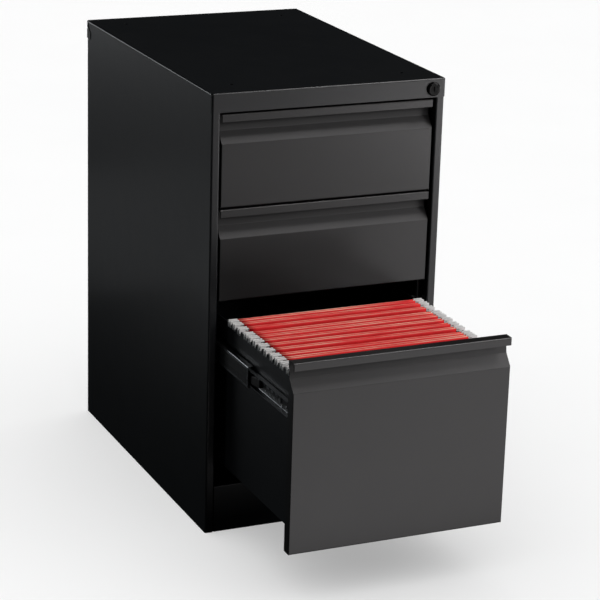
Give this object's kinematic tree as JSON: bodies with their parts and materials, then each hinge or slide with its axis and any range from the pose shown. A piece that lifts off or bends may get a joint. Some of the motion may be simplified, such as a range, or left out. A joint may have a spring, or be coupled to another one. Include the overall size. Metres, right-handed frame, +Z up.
{
  "type": "filing cabinet",
  "caption": "Steel pedestal filing cabinet with box drawers over a letter-size file drawer standing open, full-width finger pulls, a gang lock and hanging folders.",
  "frame": {"origin": "centre of the case's footprint on the floor", "axes": "+X to the user's right, +Y to the back, +Z up; drawers open towards -Y"},
  "size_m": [0.384, 0.8529, 0.6985],
  "materials": {
    "case_paint": "satin black powder coat, fine texture",
    "front_paint": "satin black powder coat on the drawer fronts",
    "drawer_paint": "satin black paint inside the drawers",
    "slide_steel": "dark zinc plate",
    "ball_steel": "bright zinc cage with polished balls",
    "upright_steel": "satin black",
    "lock_black": "gloss black",
    "lock_chrome": "polished black nickel",
    "zinc_steel": "zinc plated",
    "glide_steel": "zinc plated stem on a flat pad",
    "cast_weight": "rough cast",
    "folder_paper": "red card with lighter folded edges",
    "folder_plastic": "off-white"
  },
  "bodies": {
    "case": {"side_panel_left": "case_paint", "side_panel_right": "case_paint", "top_panel": "case_paint", "back_panel": "case_paint", "back_rivets": "zinc_steel", "bottom_plate": "case_paint", "base_front_panel": "case_paint", "counterweight": "cast_weight", "upright_front_left": "upright_steel", "upright_front_right": "upright_steel", "upright_rear_left": "upright_steel", "upright_rear_right": "upright_steel", "lock_housing": "lock_black", "lock_nut": "zinc_steel", "upper_slide_outer_left": "slide_steel", "upper_slide_outer_right": "slide_steel", "middle_slide_outer_left": "slide_steel", "middle_slide_outer_right": "slide_steel", "file_slide_outer_left": "slide_steel", "file_slide_outer_right": "slide_steel"},
    "levelling_feet": {"levelling_glides": "glide_steel"},
    "lock_plug": {"lock_plug": "lock_chrome", "lock_cam": "zinc_steel"},
    "lock_bar": {"lock_bar": "zinc_steel"},
    "upper_drawer": {"upper_drawer_front": "front_paint", "upper_drawer_liner": "drawer_paint", "upper_drawer_body": "drawer_paint", "upper_drawer_back": "drawer_paint", "upper_drawer_screws_and_catch": "zinc_steel", "upper_slide_inner_left": "slide_steel", "upper_slide_inner_right": "slide_steel"},
    "upper_slide_middles": {"upper_slide_middle_left": "slide_steel", "upper_slide_middle_right": "slide_steel"},
    "upper_outer_cages": {"upper_slide_outer_cages": "ball_steel"},
    "upper_inner_cages": {"upper_slide_inner_cages": "ball_steel"},
    "middle_drawer": {"middle_drawer_front": "front_paint", "middle_drawer_liner": "drawer_paint", "middle_drawer_body": "drawer_paint", "middle_drawer_back": "drawer_paint", "middle_drawer_screws_and_catch": "zinc_steel", "middle_slide_inner_left": "slide_steel", "middle_slide_inner_right": "slide_steel"},
    "middle_slide_middles": {"middle_slide_middle_left": "slide_steel", "middle_slide_middle_right": "slide_steel"},
    "middle_outer_cages": {"middle_slide_outer_cages": "ball_steel"},
    "middle_inner_cages": {"middle_slide_inner_cages": "ball_steel"},
    "file_drawer": {"file_drawer_front": "front_paint", "file_drawer_liner": "drawer_paint", "file_drawer_body": "drawer_paint", "file_drawer_back": "drawer_paint", "file_drawer_screws_and_catch": "zinc_steel", "file_slide_inner_left": "slide_steel", "file_slide_inner_right": "slide_steel", "folder_pockets": "folder_paper", "folder_rods": "zinc_steel", "folder_hooks": "folder_plastic"},
    "file_slide_middles": {"file_slide_middle_left": "slide_steel", "file_slide_middle_right": "slide_steel"},
    "file_outer_cages": {"file_slide_outer_cages": "ball_steel"},
    "file_inner_cages": {"file_slide_inner_cages": "ball_steel"}
  },
  "joints": [
    {"name": "upper_drawer_slide", "type": "slide", "parent": "case", "child": "upper_drawer", "axis": [0, -1, 0], "range_m": [0, 0.5]},
    {"name": "upper_middle_members_slide", "type": "slide", "parent": "case", "child": "upper_slide_middles", "axis": [0, -1, 0], "range_m": [0, 0.2505]},
    {"name": "upper_outer_cages_slide", "type": "slide", "parent": "case", "child": "upper_outer_cages", "axis": [0, -1, 0], "range_m": [0, 0.1255]},
    {"name": "upper_inner_cages_slide", "type": "slide", "parent": "case", "child": "upper_inner_cages", "axis": [0, -1, 0], "range_m": [0, 0.3755]},
    {"name": "middle_drawer_slide", "type": "slide", "parent": "case", "child": "middle_drawer", "axis": [0, -1, 0], "range_m": [0, 0.5]},
    {"name": "middle_middle_members_slide", "type": "slide", "parent": "case", "child": "middle_slide_middles", "axis": [0, -1, 0], "range_m": [0, 0.2505]},
    {"name": "middle_outer_cages_slide", "type": "slide", "parent": "case", "child": "middle_outer_cages", "axis": [0, -1, 0], "range_m": [0, 0.1255]},
    {"name": "middle_inner_cages_slide", "type": "slide", "parent": "case", "child": "middle_inner_cages", "axis": [0, -1, 0], "range_m": [0, 0.3755]},
    {"name": "file_drawer_slide", "type": "slide", "parent": "case", "child": "file_drawer", "axis": [0, -1, 0], "range_m": [-0.285, 0.215]},
    {"name": "file_middle_members_slide", "type": "slide", "parent": "case", "child": "file_slide_middles", "axis": [0, -1, 0], "range_m": [-0.143, 0.108]},
    {"name": "file_outer_cages_slide", "type": "slide", "parent": "case", "child": "file_outer_cages", "axis": [0, -1, 0], "range_m": [-0.07175, 0.05425]},
    {"name": "file_inner_cages_slide", "type": "slide", "parent": "case", "child": "file_inner_cages", "axis": [0, -1, 0], "range_m": [-0.21425, 0.16175]},
    {"name": "lock_turn", "type": "hinge", "parent": "case", "child": "lock_plug", "pos_m": [0.171, -0.26, 0.6823], "axis": [0, 1, 0], "range_deg": [0, 90]},
    {"name": "lock_bar_slide", "type": "slide", "parent": "case", "child": "lock_bar", "axis": [0, 0, -1], "range_m": [0, 0.012]},
    {"name": "levelling_feet_height", "type": "slide", "parent": "case", "child": "levelling_feet", "axis": [0, 0, -1], "range_m": [0, 0.012]}
  ],
  "couplings": [
    {"joint": "upper_middle_members_slide", "follows": "upper_drawer_slide", "ratio": 0.5},
    {"joint": "upper_outer_cages_slide", "follows": "upper_drawer_slide", "ratio": 0.25},
    {"joint": "upper_inner_cages_slide", "follows": "upper_drawer_slide", "ratio": 0.75},
    {"joint": "middle_middle_members_slide", "follows": "middle_drawer_slide", "ratio": 0.5},
    {"joint": "middle_outer_cages_slide", "follows": "middle_drawer_slide", "ratio": 0.25},
    {"joint": "middle_inner_cages_slide", "follows": "middle_drawer_slide", "ratio": 0.75},
    {"joint": "file_middle_members_slide", "follows": "file_drawer_slide", "ratio": 0.5},
    {"joint": "file_outer_cages_slide", "follows": "file_drawer_slide", "ratio": 0.25},
    {"joint": "file_inner_cages_slide", "follows": "file_drawer_slide", "ratio": 0.75},
    {"joint": "lock_turn", "follows": "lock_bar_slide", "rad_per_m": 130.9}
  ]
}
